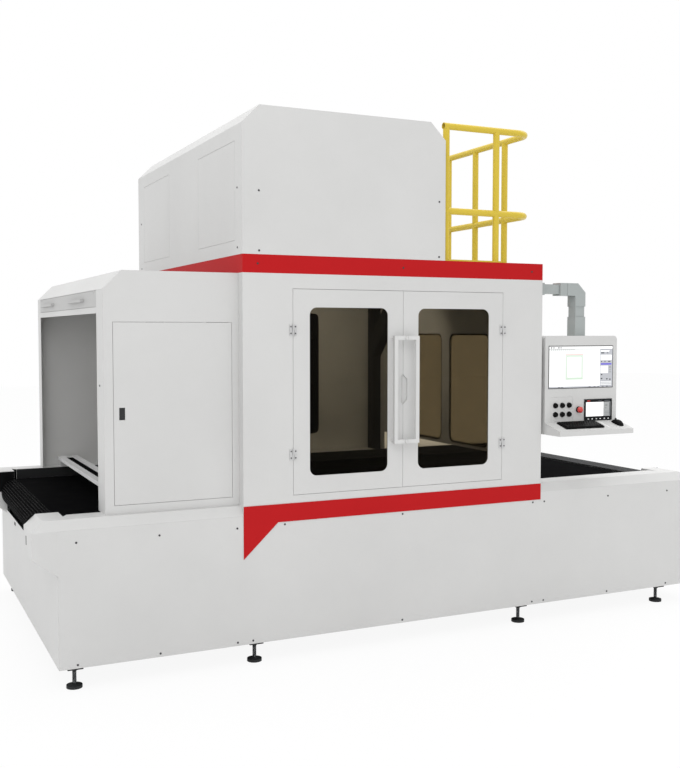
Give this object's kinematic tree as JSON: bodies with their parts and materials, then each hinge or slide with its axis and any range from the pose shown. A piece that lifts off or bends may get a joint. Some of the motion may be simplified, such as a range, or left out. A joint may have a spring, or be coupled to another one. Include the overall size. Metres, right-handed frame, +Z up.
{
  "type": "galvo laser cutting machine",
  "caption": "Conveyor-fed galvo laser cutting machine with an infeed hood, a glazed cabin, a laser housing with a guard rail on the roof and an operator console on an arm.",
  "frame": {"origin": "on the floor, at the middle of the machine's outer box", "axes": "+X along the conveyor to the right as the operator at the front sees it, +Y to the back, +Z up"},
  "size_m": [4.54, 2.548, 3.218],
  "materials": {
    "body_paint": "satin powder coat, light grey",
    "rail_paint": "satin powder coat, off-white",
    "console_paint": "satin powder coat",
    "arm_paint": "satin grey",
    "handle_paint": "satin light grey",
    "red_paint": "satin red",
    "yellow_paint": "satin safety yellow",
    "frame_paint": "matt dark grey",
    "table_paint": "matt dark grey",
    "motor_paint": "semi-gloss blue-grey",
    "module_paint": "satin dark grey",
    "belt_black": "matt black",
    "foot_black": "matt black",
    "roller_steel": "turned",
    "hinge_steel": "brushed",
    "screw_steel": "blackened",
    "bearing_iron": "painted",
    "beam_aluminium": "anodised",
    "block_aluminium": "machined",
    "mirror_glass": "coated",
    "tinted_glass": "brown tint, glossy",
    "screen_black": "glossy",
    "black_plastic": "matt",
    "red_plastic": "semi-gloss"
  },
  "bodies": {
    "base": {"machine_frame": "frame_paint", "front_panel_left": "body_paint", "front_panel_center": "body_paint", "front_panel_right": "body_paint", "rear_panels": "body_paint", "front_left_rail": "rail_paint", "front_right_rail": "rail_paint", "rear_left_rail": "rail_paint", "rear_right_rail": "rail_paint", "end_cover_left": "body_paint", "end_cover_right": "body_paint", "levelling_feet": "foot_black", "slat_belt": "belt_black", "roller_bearings": "bearing_iron", "belt_table": "table_paint", "gear_motor": "motor_paint", "infeed_beam": "beam_aluminium", "hood_shell": "body_paint", "cabin_shell": "body_paint", "upper_band": "red_paint", "lower_band": "red_paint", "frame_hinge_leaves": "hinge_steel", "rear_service_panel": "body_paint", "wall_windows": "tinted_glass", "laser_housing": "body_paint", "housing_access_panels": "body_paint", "laser_source": "module_paint", "galvo_block": "block_aluminium", "guard_rail": "yellow_paint", "console_arm": "arm_paint", "cover_screws": "screw_steel"},
    "left_door": {"left_door": "body_paint", "left_window": "tinted_glass", "left_handle": "handle_paint", "left_door_hinges": "hinge_steel"},
    "right_door": {"right_door": "body_paint", "right_window": "tinted_glass", "right_handle": "handle_paint", "right_door_hinges": "hinge_steel"},
    "hood_door": {"hood_door": "body_paint"},
    "hood_latch": {"hood_latch": "black_plastic"},
    "inlet_flap": {"inlet_flap": "body_paint"},
    "drive_roller": {"drive_roller": "roller_steel"},
    "idler_roller": {"idler_roller": "roller_steel"},
    "focus_carriage": {"focus_carriage": "module_paint"},
    "galvo_mirror_x": {"galvo_mirror_x": "mirror_glass"},
    "galvo_mirror_y": {"galvo_mirror_y": "mirror_glass"},
    "console": {"console_swivel_tube": "arm_paint", "console_body": "console_paint", "monitor": "screen_black", "hmi_panel": "screen_black", "keyboard": "black_plastic", "mouse": "black_plastic"},
    "emergency_stop": {"emergency_stop": "red_plastic"},
    "button_1": {"button_1": "black_plastic"},
    "button_2": {"button_2": "black_plastic"},
    "button_3": {"button_3": "black_plastic"},
    "button_4": {"button_4": "black_plastic"},
    "button_5": {"button_5": "black_plastic"},
    "button_6": {"button_6": "black_plastic"}
  },
  "joints": [
    {"name": "left_door_hinge", "type": "hinge", "parent": "base", "child": "left_door", "pos_m": [-0.792, -1.114, 1.566], "axis": [0, 0, -1], "range_deg": [0, 100]},
    {"name": "right_door_hinge", "type": "hinge", "parent": "base", "child": "right_door", "pos_m": [0.662, -1.114, 1.566], "axis": [0, 0, 1], "range_deg": [0, 100]},
    {"name": "hood_door_hinge", "type": "hinge", "parent": "base", "child": "hood_door", "pos_m": [-1.1465, -1.0345, 1.47], "axis": [0, 0, 1], "range_deg": [0, 100]},
    {"name": "hood_latch_paddle", "type": "hinge", "parent": "hood_door", "child": "hood_latch", "pos_m": [-1.772, -1.032, 1.444], "axis": [1, 0, 0], "range_deg": [0, 55], "stiffness_Nm_per_rad": 0.05},
    {"name": "inlet_flap_hinge", "type": "hinge", "parent": "base", "child": "inlet_flap", "pos_m": [-1.8645, 0.111, 2.141], "axis": [0, 1, 0], "range_deg": [0, 70]},
    {"name": "drive_roller_spin", "type": "hinge", "parent": "base", "child": "drive_roller", "pos_m": [2.075, 0.081, 0.765], "axis": [0, 1, 0], "continuous": true},
    {"name": "idler_roller_spin", "type": "hinge", "parent": "base", "child": "idler_roller", "pos_m": [-2.075, 0.081, 0.765], "axis": [0, 1, 0], "continuous": true},
    {"name": "focus_slide", "type": "slide", "parent": "base", "child": "focus_carriage", "axis": [1, 0, 0], "range_m": [-0.05, 0.15]},
    {"name": "galvo_x_turn", "type": "hinge", "parent": "base", "child": "galvo_mirror_x", "pos_m": [-0.065, 0.081, 2.468], "axis": [0, 1, 0], "range_deg": [-12, 12], "stiffness_Nm_per_rad": 0.5},
    {"name": "galvo_y_turn", "type": "hinge", "parent": "base", "child": "galvo_mirror_y", "pos_m": [-0.065, 0.081, 2.548], "axis": [1, 0, 0], "range_deg": [-12, 12], "stiffness_Nm_per_rad": 0.5},
    {"name": "console_swivel", "type": "hinge", "parent": "base", "child": "console", "pos_m": [1.328, -1.007, 1.951], "axis": [0, 0, 1], "range_deg": [-5, 120]},
    {"name": "emergency_stop_push", "type": "slide", "parent": "console", "child": "emergency_stop", "axis": [0, 1, 0], "range_m": [0, 0.006]},
    {"name": "button_1_push", "type": "slide", "parent": "console", "child": "button_1", "axis": [0, 1, 0], "range_m": [0, 0.004], "stiffness_N_per_m": 800},
    {"name": "button_2_push", "type": "slide", "parent": "console", "child": "button_2", "axis": [0, 1, 0], "range_m": [0, 0.004], "stiffness_N_per_m": 800},
    {"name": "button_3_push", "type": "slide", "parent": "console", "child": "button_3", "axis": [0, 1, 0], "range_m": [0, 0.004], "stiffness_N_per_m": 800},
    {"name": "button_4_push", "type": "slide", "parent": "console", "child": "button_4", "axis": [0, 1, 0], "range_m": [0, 0.004], "stiffness_N_per_m": 800},
    {"name": "button_5_push", "type": "slide", "parent": "console", "child": "button_5", "axis": [0, 1, 0], "range_m": [0, 0.004], "stiffness_N_per_m": 800},
    {"name": "button_6_push", "type": "slide", "parent": "console", "child": "button_6", "axis": [0, 1, 0], "range_m": [0, 0.004], "stiffness_N_per_m": 800}
  ],
  "couplings": [
    {"joint": "idler_roller_spin", "follows": "drive_roller_spin", "ratio": 1}
  ]
}
